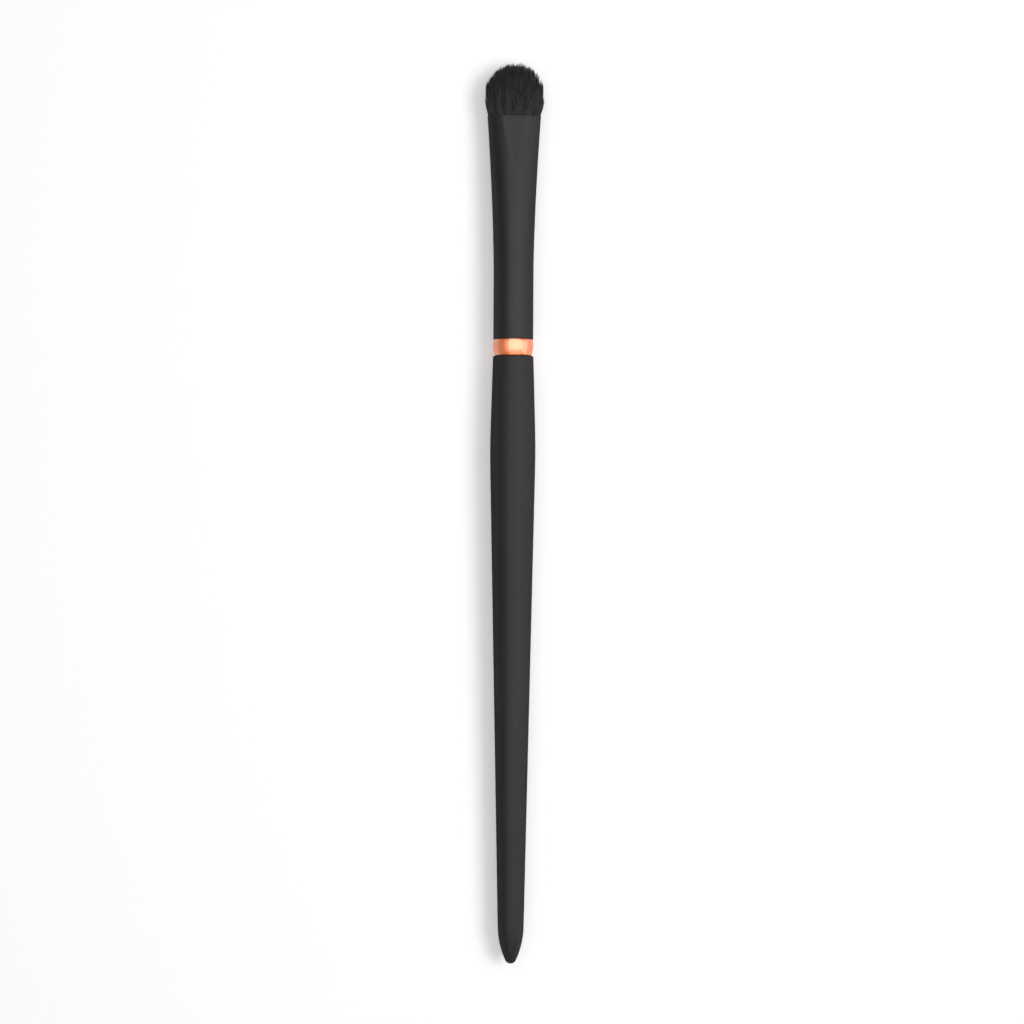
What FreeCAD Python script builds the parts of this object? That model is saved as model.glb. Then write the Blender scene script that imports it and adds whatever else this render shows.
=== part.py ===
import FreeCAD, Part
import math
import os

from FreeCAD import Placement, Rotation, Vector

# Eyeshadow brush: a turned handle, a collar ring, a pressed ferrule and a domed tuft glued into it.
# Lengths are in millimetres. A station is a distance along the brush's axis from the handle's tip.
# Every piece is modelled standing on that tip, along +Z, and is laid down along +Y when written out.

# Handle, turned from one piece of wood
handle_length = 121.5  # tip to shoulder
shoulder_proud = 0.05  # the shoulder's edge, outside the ferrule
shoulder_bevel = 0.2
belly_swell = 0.47  # the belly, outside the shoulder
belly_setback = 19.2  # shoulder to belly
belly_round_share = 0.25  # share of the setback that the belly's round takes
tail_diameter = 5.2  # where the straight taper meets the nose
nose_length = 7.4
tip_radius = 1.2
tenon_depth = 6.2  # inside the ferrule
tenon_chamfer = 0.6

# Collar ring, a barrel between the handle's shoulder and the ferrule
ring_width = 3.3
ring_clearance = 0.05  # round the tenon
ring_foot_wall = 0.33
ring_crown_proud = 0.07  # the widest line, outside the ferrule
ring_top_setback = 0.08  # the upper edge, inside the ferrule's outline
ring_crown_share = 0.58  # the widest line's height on the ring

# Ferrule, a round tube pressed to an oval at its mouth
ferrule_length = 44.6
ferrule_diameter = 8.0
ferrule_wall = 0.5
straight_margin = 0.4  # round tube left above the root glue
mouth_width = 10.7
mouth_thickness = 5.8  # before the press marks
press_power = 1.6  # how late the tube spreads on its way to the mouth
press_mark_length = 10.5  # the mark on each broad face, from its point up to the mouth
press_mark_width = 4.8  # at the mouth
press_mark_point = 0.8  # the width of the mark's point
press_mark_depth = 0.06  # hollow below a straight line across the mark, at the mouth
lip_bevel_share = 0.3  # the ends' eased edges, as a share of the wall
flare_spans = 4  # round tube to the marks' points
mark_spans = 7  # the marks' points to the mouth

# Glue and binding inside the ferrule
handle_glue_line = 0.25  # tenon to bore
root_gap = 0.6  # tenon to root glue
root_glue_length = 6.0
root_floor = 1.2  # glue under the fibres' roots
tie_thickness = 0.25
tie_cover = 0.1  # glue round the tie
tie_width = 1.8

# Tuft, the packed fibres as one mass
fibre_clearance = 0.05  # fibres to bore
tuft_width = 11.5
tuft_thickness = 6.4
tuft_spread_height = 4.2  # mouth to the widest section
tuft_dome_height = 6.4
spread_spans = 4
dome_spans = 12

# Stations
shoulder_station = handle_length
ferrule_station = shoulder_station + ring_width
tenon_station = ferrule_station + tenon_depth
glue_station = tenon_station + root_gap
root_station = glue_station + root_floor
glue_top_station = glue_station + root_glue_length
tie_station = (root_station + glue_top_station - tie_width) / 2
press_station = glue_top_station + straight_margin
mouth_station = ferrule_station + ferrule_length
mark_station = mouth_station - press_mark_length
tuft_belly_station = mouth_station + tuft_spread_height
brush_length = tuft_belly_station + tuft_dome_height

# Radii about the axis
ferrule_radius = ferrule_diameter / 2
bore_radius = ferrule_radius - ferrule_wall
tenon_radius = bore_radius - handle_glue_line
shoulder_radius = ferrule_radius + shoulder_proud
belly_radius = shoulder_radius + belly_swell
tail_radius = tail_diameter / 2
ring_bore_radius = tenon_radius + ring_clearance
ring_foot_radius = ring_bore_radius + ring_foot_wall
ring_crown_radius = ferrule_radius + ring_crown_proud
ring_top_radius = ferrule_radius - ring_top_setback
tie_radius = bore_radius - tie_cover
root_radius = tie_radius - tie_thickness

# Sizes that the ferrule's wall sets
fibre_inset = ferrule_wall + fibre_clearance
lip_bevel = ferrule_wall * lip_bevel_share


def on_outline(radius, station):
    return Vector(radius, 0, station)


def lines(*points):
    return [Part.LineSegment(a, b).toShape() for a, b in zip(points, points[1:])]


def arc_about(centre, start, end):
    """The shorter arc from start to end about centre."""
    radius = (start - centre).Length
    outward = (start - centre) + (end - centre)
    return Part.Arc(start, centre + outward.normalize() * radius, end).toShape()


def tangent_point(outside, centre, radius, turn):
    """Where a line from a point outside a circle touches it; turn is 1 or -1 for the side."""
    reach = outside - centre
    angle = math.degrees(math.acos(radius / reach.Length))
    spun = Rotation(Vector(0, 1, 0), turn * angle).multVec(reach)
    return centre + spun * (radius / reach.Length)


def turned(edges):
    """The solid of revolution of a closed outline about the brush's axis."""
    face = Part.Face(Part.Wire(edges))
    return face.revolve(Vector(0, 0, 0), Vector(0, 0, 1), 360)


def rod(start, end, radius):
    return Part.makeCylinder(radius, end - start, Vector(0, 0, start))


def oval(station, half_width, half_thickness):
    return Part.Wire(Part.Ellipse(Vector(0, 0, station), half_width, half_thickness).toShape())


def ferrule_section(press, inset):
    """The ferrule's outline at a share of its full press, drawn in by inset, with its press marks."""
    station = press_station + (mouth_station - press_station) * press ** (1 / press_power)
    half_width = ferrule_radius + (mouth_width / 2 - ferrule_radius) * press - inset
    half_thickness = ferrule_radius + (mouth_thickness / 2 - ferrule_radius) * press - inset
    centre = Vector(0, 0, station)
    if press:
        curve = Part.Ellipse(centre, half_width, half_thickness)
    else:
        curve = Part.Circle(centre, Vector(0, 0, 1), half_width)

    mark = max(station - mark_station, 0) / press_mark_length
    mark_width = press_mark_point + (press_mark_width - press_mark_point) * mark
    turn = math.acos(mark_width / 2 / half_width)
    drop = half_thickness * (1 - math.sin(turn)) + press_mark_depth
    hollow = Vector(0, half_thickness - drop * mark, 0)
    corners = [curve.value(angle) for angle in (turn, math.pi - turn, math.pi + turn, -turn)]
    return Part.Wire([
        Part.Arc(curve, -turn, turn).toShape(),
        Part.Arc(corners[0], centre + hollow, corners[1]).toShape(),
        Part.Arc(curve, math.pi - turn, math.pi + turn).toShape(),
        Part.Arc(corners[2], centre - hollow, corners[3]).toShape(),
    ])


def ferrule_core(start, inset):
    """The ferrule's form from a station on its round tube up to the mouth, drawn in by inset."""
    mark_press = ((mark_station - press_station) / (mouth_station - press_station)) ** press_power
    presses = [mark_press * step / flare_spans for step in range(flare_spans)]
    presses += [mark_press + (1 - mark_press) * step / mark_spans for step in range(mark_spans + 1)]
    sections = [ferrule_section(press, inset) for press in presses]
    return rod(start, press_station, ferrule_radius - inset).fuse(Part.makeLoft(sections, True, True))


def make_handle():
    """Round tip, ogive nose, straight taper, belly, shoulder and the tenon that enters the ferrule."""
    round_length = belly_setback * belly_round_share
    belly_curve = round_length * (belly_setback - round_length / 2) / belly_swell
    belly_centre = on_outline(belly_radius - belly_curve, shoulder_station - belly_setback)
    tail = on_outline(tail_radius, nose_length)
    shoulder = on_outline(shoulder_radius, shoulder_station - shoulder_bevel)
    taper_end = tangent_point(tail, belly_centre, belly_curve, -1)
    neck_start = tangent_point(shoulder, belly_centre, belly_curve, 1)

    # The nose's arc leaves the taper tangentially and meets the tip's round tangentially.
    taper = (taper_end - tail).normalize()
    nose_reach = nose_length - tip_radius
    nose_square = nose_reach ** 2 + tail_radius ** 2 - tip_radius ** 2
    nose_curve = nose_square / (tail_radius * taper.z - nose_reach * taper.x - tip_radius) / 2
    nose_centre = tail + Vector(-taper.z, 0, taper.x) * nose_curve
    tip_centre = on_outline(0, tip_radius)
    tip_end = tip_centre + (tip_centre - nose_centre).normalize() * tip_radius

    tip = on_outline(0, 0)
    nose_to_belly = [
        arc_about(tip_centre, tip, tip_end),
        arc_about(nose_centre, tip_end, tail),
        *lines(tail, taper_end),
        arc_about(belly_centre, taper_end, neck_start),
    ]
    shoulder_to_tenon = lines(
        neck_start,
        shoulder,
        on_outline(shoulder_radius - shoulder_bevel, shoulder_station),
        on_outline(tenon_radius, shoulder_station),
        on_outline(tenon_radius, tenon_station - tenon_chamfer),
        on_outline(tenon_radius - tenon_chamfer, tenon_station),
        on_outline(0, tenon_station),
        tip,
    )
    return turned(nose_to_belly + shoulder_to_tenon)


def make_collar_ring():
    """Barrel-sided ring that slips over the tenon and stands on the handle's shoulder."""
    foot = on_outline(ring_foot_radius, shoulder_station)
    crown = on_outline(ring_crown_radius, shoulder_station + ring_width * ring_crown_share)
    top = on_outline(ring_top_radius, ferrule_station)
    bore_top = on_outline(ring_bore_radius, ferrule_station)
    bore_foot = on_outline(ring_bore_radius, shoulder_station)
    return turned([Part.Arc(foot, crown, top).toShape(), *lines(top, bore_top, bore_foot, foot)])


def make_ferrule():
    """Thin tube, round where it takes the tenon and pressed at its mouth, with both ends eased outside."""
    shell = ferrule_core(ferrule_station, 0).cut(ferrule_core(ferrule_station, ferrule_wall))
    ends = [face for face in shell.Faces if isinstance(face.Surface, Part.Plane)]
    return shell.makeChamfer(lip_bevel, [edge for end in ends for edge in end.OuterWire.Edges])


def make_handle_glue():
    """Cured adhesive in the gap between the tenon and the ferrule."""
    top_station = tenon_station - tenon_chamfer
    return rod(ferrule_station, top_station, bore_radius).cut(rod(ferrule_station, top_station, tenon_radius))


def make_root_tie(root):
    """Binding that gathers the fibres' roots before they are glued."""
    return rod(tie_station, tie_station + tie_width, tie_radius).cut(root)


def make_root_glue(root, tie):
    """Cured adhesive that soaks the roots and fills the ferrule round them."""
    return rod(glue_station, glue_top_station, bore_radius).cut([root, tie])


def make_tuft(root):
    """Fibres from their drawn-in roots through the ferrule to a spread belly and an oval dome."""
    half_width = tuft_width / 2
    half_thickness = tuft_thickness / 2
    tuck_width = half_width - (mouth_width / 2 - fibre_inset)
    tuck_thickness = half_thickness - (mouth_thickness / 2 - fibre_inset)
    head = []
    for step in range(spread_spans):
        share = step / spread_spans
        tuck = 1 - math.sin(share * math.pi / 2)
        station = mouth_station + tuft_spread_height * share
        head.append(oval(station, half_width - tuck_width * tuck, half_thickness - tuck_thickness * tuck))
    for step in range(dome_spans):
        rise = step / dome_spans * math.pi / 2
        station = tuft_belly_station + tuft_dome_height * math.sin(rise)
        head.append(oval(station, half_width * math.cos(rise), half_thickness * math.cos(rise)))
    head.append(Part.Vertex(0, 0, brush_length))
    return root.fuse([ferrule_core(glue_top_station, fibre_inset), Part.makeLoft(head, True, True)])


def make_pieces():
    root = rod(root_station, glue_top_station, root_radius)
    tie = make_root_tie(root)
    return {
        "handle": make_handle(),
        "collar_ring": make_collar_ring(),
        "ferrule": make_ferrule(),
        "bristle_tuft": make_tuft(root),
        "root_tie": tie,
        "root_glue": make_root_glue(root, tie),
        "handle_glue": make_handle_glue(),
    }


def lay_down(shape):
    """Turns the standing brush onto its side, with the origin under the middle of its length."""
    rest_height = max(belly_radius, ring_crown_radius, tuft_thickness / 2)
    laid = shape.copy()
    laid.Placement = Placement(Vector(0, -brush_length / 2, rest_height), Rotation(Vector(1, 0, 0), -90))
    return laid


os.makedirs("parts", exist_ok=True)
for node, piece in make_pieces().items():
    solid = lay_down(piece)
    state = "valid" if solid.isValid() else "not valid"
    print(f"{node}: {state}, {len(solid.Solids)} solid, {solid.Volume:.2f} mm3")
    solid.exportStep(os.path.join("parts", node + ".step"))
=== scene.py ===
import bpy
import math
import random
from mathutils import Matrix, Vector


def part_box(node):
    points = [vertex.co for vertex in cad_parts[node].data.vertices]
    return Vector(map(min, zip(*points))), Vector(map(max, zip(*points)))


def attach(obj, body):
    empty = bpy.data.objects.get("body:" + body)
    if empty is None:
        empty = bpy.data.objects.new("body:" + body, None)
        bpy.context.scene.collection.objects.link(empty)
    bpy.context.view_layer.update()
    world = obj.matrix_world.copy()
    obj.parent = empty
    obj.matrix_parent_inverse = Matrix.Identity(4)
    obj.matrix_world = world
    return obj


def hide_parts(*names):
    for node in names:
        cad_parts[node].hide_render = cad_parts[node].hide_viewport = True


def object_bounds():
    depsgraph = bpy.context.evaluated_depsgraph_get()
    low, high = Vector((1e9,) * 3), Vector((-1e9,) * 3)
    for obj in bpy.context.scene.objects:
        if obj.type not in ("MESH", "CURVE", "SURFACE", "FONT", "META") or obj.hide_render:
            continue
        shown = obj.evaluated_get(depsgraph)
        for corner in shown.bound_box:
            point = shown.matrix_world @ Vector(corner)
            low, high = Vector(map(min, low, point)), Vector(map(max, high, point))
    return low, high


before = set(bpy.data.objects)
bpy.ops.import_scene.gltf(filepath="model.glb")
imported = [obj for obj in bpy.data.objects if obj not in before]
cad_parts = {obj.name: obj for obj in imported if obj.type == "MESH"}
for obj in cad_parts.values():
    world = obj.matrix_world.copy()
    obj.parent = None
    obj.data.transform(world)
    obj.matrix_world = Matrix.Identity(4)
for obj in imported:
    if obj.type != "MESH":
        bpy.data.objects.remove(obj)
cadLow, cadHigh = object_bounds()
mm = 0.001

# landmarks along the brush, all read from the frame
ringLow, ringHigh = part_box("collar_ring")
axisZ = (ringLow.z + ringHigh.z) / 2
shoulderY = ringLow.y
ringTopY = ringHigh.y
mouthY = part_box("ferrule")[1].y
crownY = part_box("bristle_tuft")[1].y
print("frame loaded, brush axis at z", round(axisZ, 5), "mouth at y", round(mouthY, 5))


# small tools for working in edit mode

def deselectAll():
    if bpy.context.object and bpy.context.object.mode != "OBJECT":
        bpy.ops.object.mode_set(mode="OBJECT")
    bpy.ops.object.select_all(action="DESELECT")


def startLoop(name, sides, y):
    # a unit circle round the brush's axis, ready to be scaled and extruded
    deselectAll()
    bpy.ops.mesh.primitive_circle_add(vertices=sides, radius=1.0, fill_type="NOTHING",
                                      location=(0, y, axisZ), rotation=(math.pi / 2, 0, 0))
    piece = bpy.context.object
    piece.name = name
    piece.data.name = name
    bpy.ops.object.transform_apply(location=True, rotation=True, scale=True)
    bpy.ops.object.mode_set(mode="EDIT")
    bpy.ops.mesh.select_all(action="SELECT")
    return piece


def scaleLoop(wide, thick, y):
    bpy.ops.transform.resize(value=(wide, 1, thick), center_override=(0, y, axisZ))


def extrudeLoops(loops):
    # loops are (y, half width, half thickness); the selected unit loop takes the first
    y, wide, thick = loops[0]
    scaleLoop(wide, thick, y)
    for nextY, nextWide, nextThick in loops[1:]:
        bpy.ops.mesh.extrude_region_move(TRANSFORM_OT_translate={"value": (0, nextY - y, 0)})
        scaleLoop(nextWide / wide, nextThick / thick, nextY)
        y, wide, thick = nextY, nextWide, nextThick


def selectNear(piece, y, reach):
    # leaves only the points at one place along the brush selected
    bpy.ops.mesh.select_all(action="DESELECT")
    bpy.ops.object.mode_set(mode="OBJECT")
    for v in piece.data.vertices:
        v.select = abs(v.co.y - y) < reach
    bpy.ops.object.mode_set(mode="EDIT")


def closeMesh(reach=0.002 * mm):
    bpy.ops.mesh.select_all(action="SELECT")
    bpy.ops.mesh.remove_doubles(threshold=reach)
    bpy.ops.mesh.normals_make_consistent(inside=False)
    bpy.ops.object.mode_set(mode="OBJECT")


def roundEdges(piece, width, segments, angle):
    bevel = piece.modifiers.new("softEdges", "BEVEL")
    bevel.width = width
    bevel.segments = segments
    bevel.limit_method = "ANGLE"
    bevel.angle_limit = math.radians(angle)
    bevel.harden_normals = False
    bpy.context.view_layer.objects.active = piece
    bpy.ops.object.modifier_apply(modifier=bevel.name)


def smoothShade(piece, angle=40):
    deselectAll()
    piece.select_set(True)
    bpy.context.view_layer.objects.active = piece
    bpy.ops.object.shade_smooth_by_angle(angle=math.radians(angle))


def cadRows(node, rowStep=0.01 * mm):
    # (y, least radius, greatest radius) of each row of a turned solid's points
    rows = {}
    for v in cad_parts[node].data.vertices:
        radius = math.hypot(v.co.x, v.co.z - axisZ)
        key = round(v.co.y / rowStep)
        y, low, high = rows.get(key, (v.co.y, radius, radius))
        rows[key] = (y, min(low, radius), max(high, radius))
    return [rows[key] for key in sorted(rows)]


def finishPiece(piece, material, slot, *nodes):
    piece.data.materials.clear()
    piece.data.materials.append(material)
    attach(piece, "root")
    if nodes:
        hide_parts(*nodes)
    print("piece ready:", piece.name, len(piece.data.polygons), "faces")


# shader parts that several finishes share

def newGroup(name, inputs, outputs):
    group = bpy.data.node_groups.new(name, "ShaderNodeTree")
    for label, kind, value in inputs:
        socket = group.interface.new_socket(label, in_out="INPUT", socket_type=kind)
        if value is not None:
            socket.default_value = value
    for label, kind in outputs:
        group.interface.new_socket(label, in_out="OUTPUT", socket_type=kind)
    return group, group.nodes.new("NodeGroupInput"), group.nodes.new("NodeGroupOutput")


def makeGrainGroup():
    # noise stretched along its own axes, laid between two values
    group, given, result = newGroup(
        "surfaceGrain",
        [("Vector", "NodeSocketVector", None), ("Stretch", "NodeSocketVector", (1, 1, 1)),
         ("Scale", "NodeSocketFloat", 1000.0), ("Detail", "NodeSocketFloat", 3.0),
         ("Low", "NodeSocketFloat", 0.0), ("High", "NodeSocketFloat", 1.0)],
        [("Value", "NodeSocketFloat")])
    stretch = group.nodes.new("ShaderNodeVectorMath")
    stretch.operation = "MULTIPLY"
    noise = group.nodes.new("ShaderNodeTexNoise")
    spread = group.nodes.new("ShaderNodeMapRange")
    spread.inputs["From Min"].default_value = 0.3  # most of the noise lies between these two
    spread.inputs["From Max"].default_value = 0.7
    group.links.new(given.outputs["Vector"], stretch.inputs[0])
    group.links.new(given.outputs["Stretch"], stretch.inputs[1])
    group.links.new(stretch.outputs["Vector"], noise.inputs["Vector"])
    group.links.new(given.outputs["Scale"], noise.inputs["Scale"])
    group.links.new(given.outputs["Detail"], noise.inputs["Detail"])
    group.links.new(noise.outputs["Fac"], spread.inputs["Value"])
    group.links.new(given.outputs["Low"], spread.inputs["To Min"])
    group.links.new(given.outputs["High"], spread.inputs["To Max"])
    group.links.new(spread.outputs["Result"], result.inputs["Value"])
    return group


grainGroup = makeGrainGroup()


def newFinish(name):
    material = bpy.data.materials.new(name)
    material.use_nodes = True
    nodes = material.node_tree.nodes
    shader = nodes["Principled BSDF"]
    place = nodes.new("ShaderNodeTexCoord")
    return material, shader, place.outputs["Object"]


def addGrain(material, vector, scale, low, high, stretch=(1, 1, 1), detail=3.0):
    grain = material.node_tree.nodes.new("ShaderNodeGroup")
    grain.node_tree = grainGroup
    grain.inputs["Stretch"].default_value = stretch
    grain.inputs["Scale"].default_value = scale
    grain.inputs["Detail"].default_value = detail
    grain.inputs["Low"].default_value = low
    grain.inputs["High"].default_value = high
    material.node_tree.links.new(vector, grain.inputs["Vector"])
    return grain.outputs["Value"]


def sumOf(material, first, second):
    add = material.node_tree.nodes.new("ShaderNodeMath")
    add.operation = "ADD"
    material.node_tree.links.new(first, add.inputs[0])
    material.node_tree.links.new(second, add.inputs[1])
    return add.outputs["Value"]


def blendColours(material, mask, dark, light):
    mix = material.node_tree.nodes.new("ShaderNodeMix")
    mix.data_type = "RGBA"
    mix.inputs["A"].default_value = (*dark, 1)
    mix.inputs["B"].default_value = (*light, 1)
    material.node_tree.links.new(mask, mix.inputs["Factor"])
    return mix.outputs["Result"]


def rimRamp(material, low, high, most):
    # rises from nothing where the surface faces the eye to its most near the outline
    facing = material.node_tree.nodes.new("ShaderNodeLayerWeight")
    facing.inputs["Blend"].default_value = 0.5
    ramp = material.node_tree.nodes.new("ShaderNodeMapRange")
    ramp.inputs["From Min"].default_value = low
    ramp.inputs["From Max"].default_value = high
    ramp.inputs["To Max"].default_value = most
    material.node_tree.links.new(facing.outputs["Facing"], ramp.inputs["Value"])
    return ramp.outputs["Result"]


def addBump(material, shader, height, distance, strength=1.0):
    bump = material.node_tree.nodes.new("ShaderNodeBump")
    bump.inputs["Distance"].default_value = distance
    bump.inputs["Strength"].default_value = strength
    material.node_tree.links.new(height, bump.inputs["Height"])
    material.node_tree.links.new(bump.outputs["Normal"], shader.inputs["Normal"])


# handle: turned wood under soft-touch black lacquer

handleLook = {
    "sides": 128,
    "shoulderRound": 0.08 * mm, "tipSpeck": 0.02 * mm, "tipReach": 0.001 * mm, "stepLeast": 0.1 * mm,
    "darkLacquer": (0.0255, 0.0255, 0.0257),
    "lightLacquer": (0.0295, 0.0295, 0.0297),
    "specular": 0.094,
    "roughLow": 0.3, "roughHigh": 0.38, "roughGrain": 0.015,
    "rimRough": 0.5, "rimFrom": 0.18, "rimTo": 0.6,
    "smudgeScale": 90, "smudgeStretch": (1, 0.35, 1),
    "rubScale": 153, "rubStretch": (1, 0.4, 1),
    "speckleScale": 5200, "speckleHeight": 0.004 * mm,
}


def makeLacquer(look):
    material, shader, place = newFinish("softTouchLacquer")
    links = material.node_tree.links
    smudge = addGrain(material, place, look["smudgeScale"], 0.0, 1.0, look["smudgeStretch"])
    links.new(blendColours(material, smudge, look["darkLacquer"], look["lightLacquer"]),
              shader.inputs["Base Color"])
    broad = addGrain(material, place, look["rubScale"], look["roughLow"], look["roughHigh"],
                     look["rubStretch"])
    fine = addGrain(material, place, look["speckleScale"], -look["roughGrain"], look["roughGrain"])
    grain = sumOf(material, broad, fine)
    # scatters more towards the outline, so no bright rim shows
    matt = rimRamp(material, look["rimFrom"], look["rimTo"], look["rimRough"])
    links.new(sumOf(material, grain, matt), shader.inputs["Roughness"])
    speckle = addGrain(material, place, look["speckleScale"], 0.0, 1.0, detail=2.0)
    addBump(material, shader, speckle, look["speckleHeight"])
    shader.inputs["Specular IOR Level"].default_value = look["specular"]
    return material


def makeHandle(look):
    loops = []
    for y, low, high in cadRows("handle"):
        loops.append((y, max(high, look["tipSpeck"]), max(high, look["tipSpeck"])))
        if low > look["tipSpeck"] and high - low > look["stepLeast"]:
            loops.append((y, low, low))  # the shoulder's face, in to the tenon
    tipY = loops[0][0]
    handle = startLoop("handleBody", look["sides"], tipY)
    extrudeLoops(loops)
    bpy.ops.mesh.edge_face_add()  # the tenon's end
    selectNear(handle, tipY, look["tipReach"])
    bpy.ops.mesh.merge(type="CENTER")  # the very tip
    closeMesh()
    roundEdges(handle, look["shoulderRound"], segments=2, angle=40)
    smoothShade(handle)
    finishPiece(handle, makeLacquer(look), "handle_lacquer", "handle")


makeHandle(handleLook)


# collar ring: polished rose gold between the shoulder and the ferrule

ringLook = {
    "sides": 128,
    "edgeRound": 0.05 * mm,
    "gold": (0.76, 0.18, 0.03), "deepGold": (0.73, 0.165, 0.02), "edgeGold": (1.0, 0.62, 0.36),
    "roughLow": 0.48, "roughHigh": 0.55,
    "coat": 1.0, "coatIndex": 2.1, "coatRough": 0.16,
    "stainScale": 420, "rubScale": 700,
    "latheScale": 9000, "latheStretch": (0.01, 1, 0.01), "latheHeight": 0.0015 * mm,
}


def makeRoseGold(look):
    material, shader, place = newFinish("roseGold")
    links = material.node_tree.links
    shader.inputs["Metallic"].default_value = 1.0
    shader.inputs["Specular Tint"].default_value = (*look["edgeGold"], 1)
    stain = addGrain(material, place, look["stainScale"], 0.0, 1.0)
    links.new(blendColours(material, stain, look["deepGold"], look["gold"]), shader.inputs["Base Color"])
    rub = addGrain(material, place, look["rubScale"], look["roughLow"], look["roughHigh"])
    links.new(rub, shader.inputs["Roughness"])
    shader.inputs["Coat Weight"].default_value = look["coat"]  # clear lacquer over the plated colour
    shader.inputs["Coat IOR"].default_value = look["coatIndex"]
    shader.inputs["Coat Roughness"].default_value = look["coatRough"]
    turned = addGrain(material, place, look["latheScale"], 0.0, 1.0, look["latheStretch"])
    addBump(material, shader, turned, look["latheHeight"])
    return material


def makeRing(look):
    rows = cadRows("collar_ring")
    bore = min(low for y, low, high in rows)
    outer = [(y, high, high) for y, low, high in rows]
    loops = outer + [(outer[-1][0], bore, bore), (outer[0][0], bore, bore), outer[0]]
    ring = startLoop("collarRing", look["sides"], outer[0][0])
    extrudeLoops(loops)
    closeMesh()
    roundEdges(ring, look["edgeRound"], segments=2, angle=50)
    smoothShade(ring)
    finishPiece(ring, makeRoseGold(look), "ring_metal", "collar_ring")


makeRing(ringLook)


# ferrule: drawn tube, round at the ring, pressed to an oval with a V mark on each broad face

ferruleLook = {
    "sides": 192,
    "radius": 4.0 * mm, "wall": 0.5 * mm,
    "pressStart": 13.2 * mm, "pressPower": 1.6,
    "mouthHalfWide": 5.35 * mm, "mouthHalfThick": 2.9 * mm,
    "markLength": 10.5 * mm, "markHalfWide": 2.4 * mm, "markPoint": 0.4 * mm, "markDepth": 0.06 * mm,
    "outsideFrom": 0.93,  # of the way out to the tube's outside: what lies nearer in is its bore
    "roundLoops": 10, "pressLoops": 44,
    "lipRound": 0.03 * mm,
    "darkAnodise": (0.008, 0.008, 0.0082), "lightAnodise": (0.0115, 0.0115, 0.0117),
    "specular": 0.215,
    "roughLow": 0.38, "roughHigh": 0.45, "roughGrain": 0.02,
    "rimRough": 0.35, "rimFrom": 0.18, "rimTo": 0.6,
    "cloudScale": 160, "cloudStretch": (1, 0.3, 1),
    "rubScale": 260, "rubStretch": (1, 0.25, 1),
    "grainScale": 5200, "grainStretch": (1, 0.06, 1), "grainHeight": 0.0025 * mm,
    "drawStretch": (1, 0.05, 1),
}


def makeAnodise(look):
    material, shader, place = newFinish("blackAnodise")
    links = material.node_tree.links
    cloud = addGrain(material, place, look["cloudScale"], 0.0, 1.0, look["cloudStretch"])
    links.new(blendColours(material, cloud, look["darkAnodise"], look["lightAnodise"]),
              shader.inputs["Base Color"])
    broad = addGrain(material, place, look["rubScale"], look["roughLow"], look["roughHigh"],
                     look["rubStretch"])
    fine = addGrain(material, place, look["grainScale"], -look["roughGrain"], look["roughGrain"],
                    look["grainStretch"])
    grain = sumOf(material, broad, fine)
    # scatters more towards the outline, so no bright rim shows
    matt = rimRamp(material, look["rimFrom"], look["rimTo"], look["rimRough"])
    links.new(sumOf(material, grain, matt), shader.inputs["Roughness"])
    # the lines left by drawing the tube run lengthwise
    drawn = addGrain(material, place, look["grainScale"], 0.0, 1.0, look["drawStretch"])
    addBump(material, shader, drawn, look["grainHeight"])
    shader.inputs["Specular IOR Level"].default_value = look["specular"]
    return material


def pressAt(look, y):
    reach = (y - ringTopY - look["pressStart"]) / (mouthY - ringTopY - look["pressStart"])
    return max(0.0, min(1.0, reach)) ** look["pressPower"]


def ferruleHalves(look, y, inset):
    press = pressAt(look, y)
    wide = look["radius"] + (look["mouthHalfWide"] - look["radius"]) * press
    thick = look["radius"] + (look["mouthHalfThick"] - look["radius"]) * press
    return y, wide - inset, thick - inset


def pressMarks(piece, look):
    # flattens each broad face between the two lines of its V and hollows it a little
    for v in piece.data.vertices:
        reach = (v.co.y - mouthY + look["markLength"]) / look["markLength"]
        if reach <= 0:
            continue
        half = look["markPoint"] + (look["markHalfWide"] - look["markPoint"]) * reach
        height = v.co.z - axisZ
        if abs(v.co.x) >= half:
            continue
        y, wide, thick = ferruleHalves(look, v.co.y, 0)
        outside = math.hypot(v.co.x / wide, height / thick) > look["outsideFrom"]
        inset = 0.0 if outside else look["wall"]
        corner = thick * math.sqrt(1 - (half / wide) ** 2)
        hollow = corner - look["markDepth"] * reach * (1 - (v.co.x / half) ** 2)
        v.co.z = axisZ + math.copysign(hollow - inset, height)
    piece.data.update()


def makeFerrule(look):
    roundTop = ringTopY + look["pressStart"]
    roundLoops, pressLoops = look["roundLoops"], look["pressLoops"]
    stations = [ringTopY + look["pressStart"] * i / roundLoops for i in range(roundLoops)]
    stations += [roundTop + (mouthY - roundTop) * i / pressLoops for i in range(pressLoops + 1)]
    outer = [ferruleHalves(look, y, 0) for y in stations]
    inner = [ferruleHalves(look, y, look["wall"]) for y in reversed(stations)]
    ferrule = startLoop("pressedFerrule", look["sides"], ringTopY)
    extrudeLoops(outer + inner + outer[:1])
    closeMesh()
    pressMarks(ferrule, look)
    roundEdges(ferrule, look["lipRound"], segments=3, angle=60)
    smoothShade(ferrule, angle=50)
    finishPiece(ferrule, makeAnodise(look), "ferrule_metal", "ferrule")


makeFerrule(ferruleLook)


# tuft: one hair is modelled and copied, over a dark core that closes the gaps between them

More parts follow.
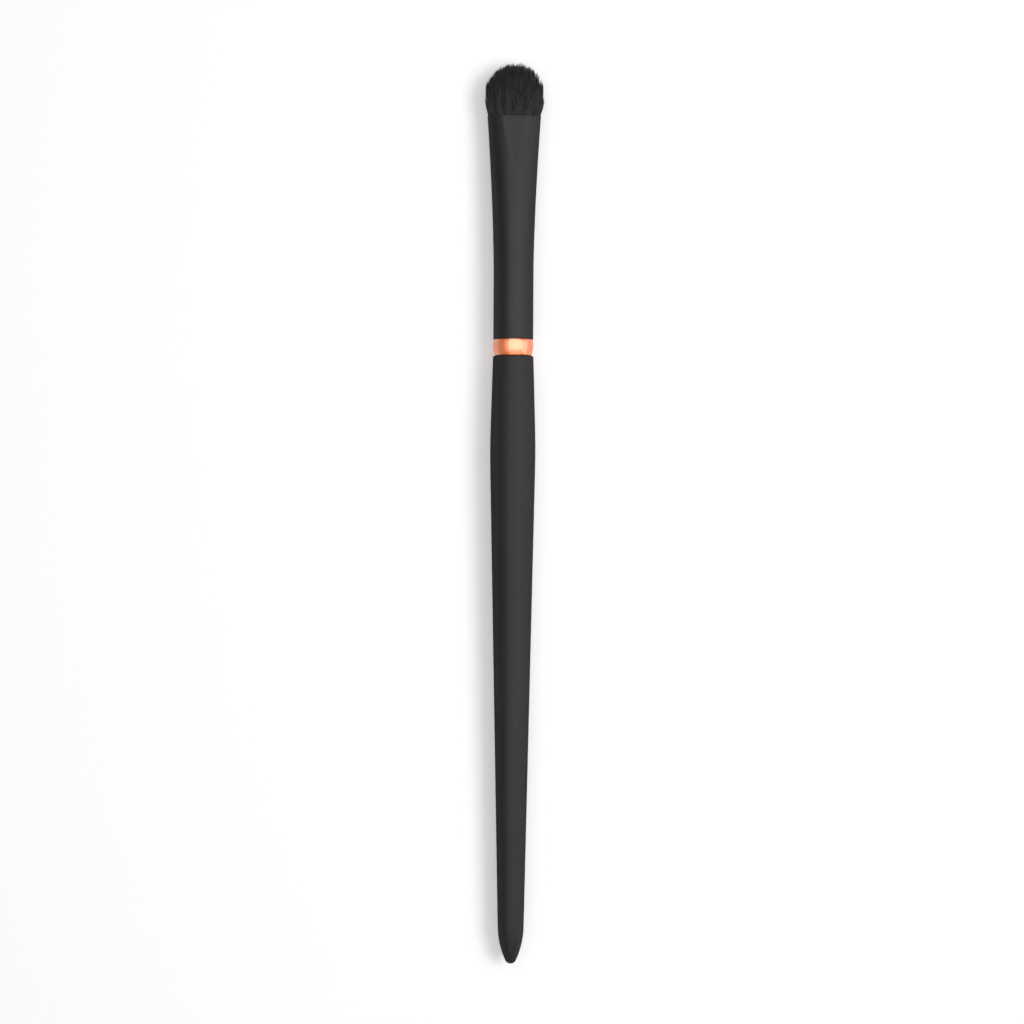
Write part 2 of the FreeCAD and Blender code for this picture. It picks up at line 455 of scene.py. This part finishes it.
tuftLook = {
    "seed": 11,
    "hairRadius": 0.046 * mm, "hairShares": (1, 1, 1, 0.97, 0.9, 0.75, 0.3),
    "rootDepth": 1.5 * mm, "lipBulgeAt": 0.01 * mm, "lipTurn": 0.12 * mm,
    "boreWide": 4.78 * mm, "boreThick": 2.28 * mm, "hollowThick": 1.98 * mm,
    "lipWide": 5.22 * mm, "lipThick": 2.6 * mm,
    "bellyWide": 5.65 * mm, "bellyThick": 3.2 * mm, "bellyHeight": 4.2 * mm,
    "domePower": 2.0, "domeRound": 0.4, "domeHigh": 0.97, "overTop": 0.35 * mm,
    "ragged": 0.24 * mm, "tipDrop": 0.9, "shortShare": 0.24, "shortest": 0.45,
    "sideLean": 0.4 * mm, "leanPower": 4, "leanNoise": 0.06 * mm,
    "flare": 0.13 * mm, "flarePower": 4, "bendPower": 1.4,
    "clumps": 250, "clumpPull": 0.45, "clumpRise": 0.8,
    "bundles": 170, "bundleShare": 0.22, "bundleSpread": 0.05, "bundlePull": 0.85,
    "bundleShort": 0.45, "bundleLong": 1.15, "standLow": 0.05 * mm, "standHigh": 0.5 * mm,
    "outerHairs": 2900, "innerHairs": 2000, "shellStart": 0.74, "rimShare": 0.34, "rimStart": 0.97,
    "coreShrink": 0.86, "coreTone": 0.5, "coreSides": 48, "coreLoops": 8, "crownLoops": 12,
    "footReach": 0.01 * mm,
    "darkFibre": (0.013, 0.013, 0.013), "lightFibre": (0.056, 0.056, 0.056),
    "toneLow": 0.12, "toneHigh": 0.56, "toneNoise": 0.1, "paintedTipHighlight": 0.55,
    "streakScale": 900, "streak": 0.12, "streakStretch": (1, 0.4, 1),
    "rubScale": 1500, "roughLow": 0.39, "roughHigh": 0.53, "rubStretch": (1, 0.3, 1),
    "specular": 0.08,
}


def makeFibreFinish(look):
    material, shader, place = newFinish("blackFibre")
    links = material.node_tree.links
    tone = material.node_tree.nodes.new("ShaderNodeAttribute")
    tone.attribute_name = "hairTone"
    streak = addGrain(material, place, look["streakScale"], -look["streak"], look["streak"],
                      look["streakStretch"])
    links.new(blendColours(material, sumOf(material, tone.outputs["Fac"], streak),
                           look["darkFibre"], look["lightFibre"]), shader.inputs["Base Color"])
    rub = addGrain(material, place, look["rubScale"], look["roughLow"], look["roughHigh"],
                   look["rubStretch"])
    links.new(rub, shader.inputs["Roughness"])
    shader.inputs["Specular IOR Level"].default_value = look["specular"]
    return material


def modelOneHair(look):
    # a four-sided tube in eight loops; a loop's height stands for its number along the hair
    deselectAll()
    bpy.ops.mesh.primitive_circle_add(vertices=4, radius=look["hairRadius"], fill_type="NGON")
    hair = bpy.context.object
    hair.name = "oneHair"
    bpy.ops.object.mode_set(mode="EDIT")
    bpy.ops.mesh.select_all(action="SELECT")
    last = 1.0
    for number, share in enumerate(look["hairShares"]):
        bpy.ops.mesh.extrude_region_move(TRANSFORM_OT_translate={"value": (0, 0, 1)})
        bpy.ops.transform.resize(value=(share / last, share / last, 1), center_override=(0, 0, number + 1))
        last = share
    closeMesh()
    return hair


def tuftHalves(look, height):
    # half width and half thickness of the tuft at a height over the mouth
    lip = min(1.0, max(0.0, height / look["lipBulgeAt"]))
    lip = lip * (2 - lip)
    belly = math.sin(math.pi / 2 * min(1.0, max(0.0, height / look["bellyHeight"])))
    wide = look["boreWide"] + (look["lipWide"] - look["boreWide"]) * lip
    thick = look["boreThick"] + (look["lipThick"] - look["boreThick"]) * lip
    wide += (look["bellyWide"] - look["lipWide"]) * belly
    thick += (look["bellyThick"] - look["lipThick"]) * belly
    return wide, thick


def hairPath(look, across, through, pull, lean, tipHeight, loops):
    free = look["lipBulgeAt"] + look["lipTurn"]  # past its short turn over the lip
    rise = (tipHeight - free) / (loops - 4)
    heights = [-look["rootDepth"], 0.0, look["lipBulgeAt"]] + [free + rise * i for i in range(loops - 3)]
    points = []
    for height in heights:
        share = max(0.0, height / tipHeight) ** look["bendPower"]
        u = across + pull[0] * share
        v = through + pull[1] * share
        wide, thick = tuftHalves(look, height)
        side = look["sideLean"] * max(0.0, height / (crownY - mouthY)) ** look["leanPower"]
        x = u * wide + lean[0] * share + side
        z = v * thick + lean[1] * share
        if height <= 0:
            z = max(-look["hollowThick"], min(look["hollowThick"], z))
        points.append((x, mouthY + height, axisZ + z))
    return points


def layHairs(name, look, hair, count, innerShare, outerShare, seed, clumps, bundles, material):
    rng = random.Random(seed)
    dome = crownY - mouthY - look["bellyHeight"]
    outermost = outerShare == 1.0
    shape = [(v.co.x, v.co.y, round(v.co.z)) for v in hair.data.vertices]
    loops = max(n for x, y, n in shape) + 1
    faces = [tuple(p.vertices) for p in hair.data.polygons]
    points, polygons, tones = [], [], []
    for number in range(count):
        bundle = rng.choice(bundles) if bundles and rng.random() < look["bundleShare"] else None
        if bundle:
            spread = rng.uniform(look["rimStart"], 1.0)
            turn = rng.gauss(bundle["turn"], look["bundleSpread"])
        else:
            atRim = outermost and rng.random() < look["rimShare"]
            start = look["rimStart"] if atRim else innerShare
            spread = math.sqrt(rng.uniform(start ** 2, outerShare ** 2))
            turn = rng.uniform(0, 2 * math.pi)
        outX, outZ = math.cos(turn), math.sin(turn)
        across, through = spread * outX, spread * outZ
        clump = min(clumps, key=lambda c: (c["u"] - across) ** 2 + (c["v"] - through) ** 2)
        aimU, aimV, gather = clump["u"], clump["v"], look["clumpPull"]
        if bundle:
            aimU, aimV, gather = math.cos(bundle["turn"]), math.sin(bundle["turn"]), look["bundlePull"]
        pull = [(aimU - across) * gather, (aimV - through) * gather]
        flare = abs(rng.gauss(0, look["flare"])) * spread ** look["flarePower"]
        lean = [rng.gauss(0, look["leanNoise"]) + flare * outX,
                rng.gauss(0, look["leanNoise"]) + flare * outZ]
        reach = math.hypot(across + pull[0], through + pull[1])
        fall = (1 - min(1.0, reach) ** look["domePower"]) ** look["domeRound"]
        tipHeight = look["bellyHeight"] + dome * look["domeHigh"] * fall
        tipHeight += clump["rise"] + rng.gauss(-look["tipDrop"], 1.0) * look["ragged"]
        tipHeight = min(tipHeight, crownY - mouthY + look["overTop"])
        if bundle:  # a few hairs that end together down the sides and stand off
            tipHeight = look["bellyHeight"] * bundle["height"]
            lean = [bundle["stand"] * outX, bundle["stand"] * outZ]
        elif outermost and rng.random() < look["shortShare"]:
            tipHeight *= rng.uniform(look["shortest"], 1.0)
            lean = [lean[0] + look["flare"] * outX, lean[1] + look["flare"] * outZ]
        path = hairPath(look, across, through, pull, lean, tipHeight, loops)
        tone = clump["tone"] + rng.gauss(0, look["toneNoise"])
        first = len(points)
        for dx, dz, n in shape:
            x, y, z = path[n]
            points.append((x + dx, y, z + dz))
            # each hair is painted lighter towards its tip, a painted highlight over the upper tuft
            lift = look["paintedTipHighlight"] * (n / (loops - 1)) ** 2
            tones.append(max(0.0, min(1.0, tone + lift)))
        polygons.extend(tuple(first + i for i in face) for face in faces)
    mesh = bpy.data.meshes.new(name)
    mesh.from_pydata(points, [], polygons)
    mesh.attributes.new("hairTone", "FLOAT", "POINT").data.foreach_set("value", tones)
    hairs = bpy.data.objects.new(name, mesh)
    bpy.context.collection.objects.link(hairs)
    deselectAll()
    hairs.select_set(True)
    bpy.context.view_layer.objects.active = hairs
    bpy.ops.object.mode_set(mode="EDIT")
    bpy.ops.mesh.select_all(action="SELECT")
    bpy.ops.mesh.normals_make_consistent(inside=False)
    bpy.ops.object.mode_set(mode="OBJECT")
    bpy.ops.object.shade_smooth()
    finishPiece(hairs, material, "fibres", "bristle_tuft")


def makeCore(look, material):
    # fills the tuft under the hairs, so that no light shows through it
    shrink = look["coreShrink"]
    dome = (crownY - mouthY - look["bellyHeight"]) * shrink
    loops = []
    for i in range(look["coreLoops"] + 1):
        height = -look["rootDepth"] + (look["bellyHeight"] + look["rootDepth"]) * i / look["coreLoops"]
        wide, thick = tuftHalves(look, height)
        if height <= 0:
            thick = min(thick, look["hollowThick"])
        loops.append((mouthY + height, wide * shrink, thick * shrink))
    wide, thick = tuftHalves(look, look["bellyHeight"])
    for i in range(1, look["crownLoops"]):
        angle = math.pi / 2 * i / look["crownLoops"]
        loops.append((mouthY + look["bellyHeight"] + dome * math.sin(angle),
                      wide * shrink * math.cos(angle), thick * shrink * math.cos(angle)))
    footY = loops[0][0]
    core = startLoop("tuftCore", look["coreSides"], footY)
    extrudeLoops(loops)
    bpy.ops.mesh.edge_face_add()  # its crown
    selectNear(core, footY, look["footReach"])
    bpy.ops.mesh.edge_face_add()  # its foot, inside the ferrule
    closeMesh()
    tones = core.data.attributes.new("hairTone", "FLOAT", "POINT")
    tones.data.foreach_set("value", [look["coreTone"]] * len(core.data.vertices))
    smoothShade(core)
    finishPiece(core, material, "fibres")


def makeTuft(look):
    rng = random.Random(look["seed"])
    clumps = []
    while len(clumps) < look["clumps"]:
        u, v = rng.uniform(-1, 1), rng.uniform(-1, 1)
        if u * u + v * v < 1:
            clumps.append({"u": u, "v": v,
                           "rise": rng.gauss(0, look["clumpRise"]) * look["ragged"],
                           "tone": rng.uniform(look["toneLow"], look["toneHigh"])})
    bundles = [{"turn": rng.uniform(0, 2 * math.pi),
                "height": rng.uniform(look["bundleShort"], look["bundleLong"]),
                "stand": rng.uniform(look["standLow"], look["standHigh"])}
               for number in range(look["bundles"])]
    material = makeFibreFinish(look)
    hair = modelOneHair(look)
    makeCore(look, material)
    layHairs("outerHairs", look, hair, look["outerHairs"], look["shellStart"], 1.0,
             look["seed"] + 1, clumps, bundles, material)
    layHairs("innerHairs", look, hair, look["innerHairs"], 0.0, look["shellStart"],
             look["seed"] + 2, clumps, [], material)
    bpy.data.objects.remove(hair)


makeTuft(tuftLook)


# the pieces hidden inside the ferrule keep their CAD shape

hiddenLook = {
    "root_tie": {"name": "bindingThread", "dark": (0.42, 0.39, 0.33), "light": (0.6, 0.57, 0.5),
                 "rough": 0.8, "scale": 6000, "stretch": (0.05, 1, 0.05), "height": 0.03 * mm},
    "root_glue": {"name": "curedResin", "dark": (0.5, 0.34, 0.13), "light": (0.68, 0.5, 0.23),
                  "rough": 0.35, "scale": 500, "stretch": (1, 1, 1), "height": 0.02 * mm},
    "handle_glue": {"name": "curedGlue", "dark": (0.62, 0.58, 0.48), "light": (0.76, 0.72, 0.62),
                    "rough": 0.45, "scale": 500, "stretch": (1, 1, 1), "height": 0.02 * mm},
}

for node, look in hiddenLook.items():
    material, shader, place = newFinish(look["name"])
    mottle = addGrain(material, place, look["scale"], 0.0, 1.0, look["stretch"])
    material.node_tree.links.new(blendColours(material, mottle, look["dark"], look["light"]),
                                 shader.inputs["Base Color"])
    shader.inputs["Roughness"].default_value = look["rough"]
    addBump(material, shader, mottle, look["height"])
    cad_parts[node].data.materials.clear()
    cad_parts[node].data.materials.append(material)
    print("finish ready:", look["name"])


# stage: a white table under the handle's belly, soft light from above, a key from the right,
# and cards that only the shine shows

stageLook = {
    "size": 3.0,
    "white": (0.85, 0.85, 0.85), "lift": 0.33,
    "worldGrey": 0.235,
    "panels": {
        "topPanel": {"power": 2.0, "size": (1.04, 0.62), "place": (0.218, 0.06, 0.62), "turn": 0},
        "keyPanel": {"power": 3.05, "size": (0.32, 0.5), "place": (0.484, 0.0, 0.759), "turn": 32.5,
                     "inGloss": False},
        "topCard": {"power": 2.9, "size": (1.04, 0.9), "place": (0.218, 0.27, 0.63), "turn": 0,
                    "inDiffuse": False},
        "longCard": {"power": 6.2, "size": (1.04, 1.5), "place": (0.218, 0.0, 0.64), "turn": 0,
                     "inDiffuse": False},
        "rightCard": {"power": 3.6, "size": (0.6, 0.8), "place": (0.72, 0.0, 0.33), "turn": 90,
                      "inDiffuse": False},
        "edgeCard": {"power": 0.55, "size": (0.34, 0.7), "place": (-0.472, 0.0, 0.62), "turn": 0,
                     "inDiffuse": False},
        "leftCard": {"power": 0.6, "size": (0.9, 0.8), "place": (-0.6, 0.0, 0.36), "turn": -60,
                     "inDiffuse": False},
    },
}


def makeTable(look):
    deselectAll()
    bpy.ops.mesh.primitive_plane_add(size=look["size"], location=(0, 0, cadLow.z))
    table = bpy.context.object
    table.name = "whiteTable"
    material = bpy.data.materials.new("tableWhite")
    material.use_nodes = True
    nodes, links = material.node_tree.nodes, material.node_tree.links
    nodes.clear()
    result = nodes.new("ShaderNodeOutputMaterial")
    paint = nodes.new("ShaderNodeBsdfDiffuse")
    paint.inputs["Color"].default_value = (*look["white"], 1)
    glow = nodes.new("ShaderNodeEmission")  # only what the eye sees of the table is lifted to white
    path = nodes.new("ShaderNodeLightPath")
    seen = None
    for ray in ("Is Camera Ray", "Is Glossy Ray", "Is Transmission Ray"):
        if seen is None:
            seen = path.outputs[ray]
            continue
        most = nodes.new("ShaderNodeMath")
        most.operation = "MAXIMUM"
        links.new(seen, most.inputs[0])
        links.new(path.outputs[ray], most.inputs[1])
        seen = most.outputs["Value"]
    lift = nodes.new("ShaderNodeMath")
    lift.operation = "MULTIPLY"
    lift.inputs[1].default_value = look["lift"]
    links.new(seen, lift.inputs[0])
    links.new(lift.outputs["Value"], glow.inputs["Strength"])
    both = nodes.new("ShaderNodeAddShader")
    links.new(paint.outputs["BSDF"], both.inputs[0])
    links.new(glow.outputs["Emission"], both.inputs[1])
    links.new(both.outputs["Shader"], result.inputs["Surface"])
    table.data.materials.append(material)


def addPanel(name, panelLook):
    deselectAll()
    bpy.ops.object.light_add(type="AREA", location=panelLook["place"],
                             rotation=(0, math.radians(panelLook["turn"]), 0))
    panel = bpy.context.object
    panel.name = name
    panel.data.shape = "RECTANGLE"
    panel.data.size, panel.data.size_y = panelLook["size"]
    panel.data.energy = panelLook["power"]
    panel.visible_camera = False
    panel.visible_glossy = panelLook.get("inGloss", True)  # the key stays out of the shine
    panel.visible_diffuse = panelLook.get("inDiffuse", True)  # a card shows in the shine only


def makeStage(look):
    makeTable(look)
    for name, panelLook in look["panels"].items():
        addPanel(name, panelLook)
    world = bpy.data.worlds.new("softRoom")
    world.use_nodes = True
    world.node_tree.nodes["Background"].inputs["Color"].default_value = (1, 1, 1, 1)
    world.node_tree.nodes["Background"].inputs["Strength"].default_value = look["worldGrey"]
    bpy.context.scene.world = world
    bpy.context.scene.view_settings.view_transform = "Standard"
    print("stage ready:", len(look["panels"]), "panels")


makeStage(stageLook)


# camera: straight above, head up, as far as the photo's frame of 204.8 mm asks for

cameraLook = {"lens": 105.0, "sensor": 36.0, "frameWidth": 204.8 * mm,
              "aimX": -0.1 * mm, "aimY": 0.3 * mm, "roll": 0.258, "clipStart": 0.01}


def makeCamera(look):
    deselectAll()
    distance = look["frameWidth"] * look["lens"] / look["sensor"]
    bpy.ops.object.camera_add(location=(look["aimX"], look["aimY"], axisZ + distance),
                              rotation=(0, 0, math.radians(look["roll"])))
    camera = bpy.context.object
    camera.name = "topCamera"
    camera.data.lens = look["lens"]
    camera.data.sensor_width = look["sensor"]
    camera.data.clip_start = look["clipStart"]
    bpy.context.scene.camera = camera
    print("camera ready:", round(distance, 4), "m above the brush's axis")


makeCamera(cameraLook)
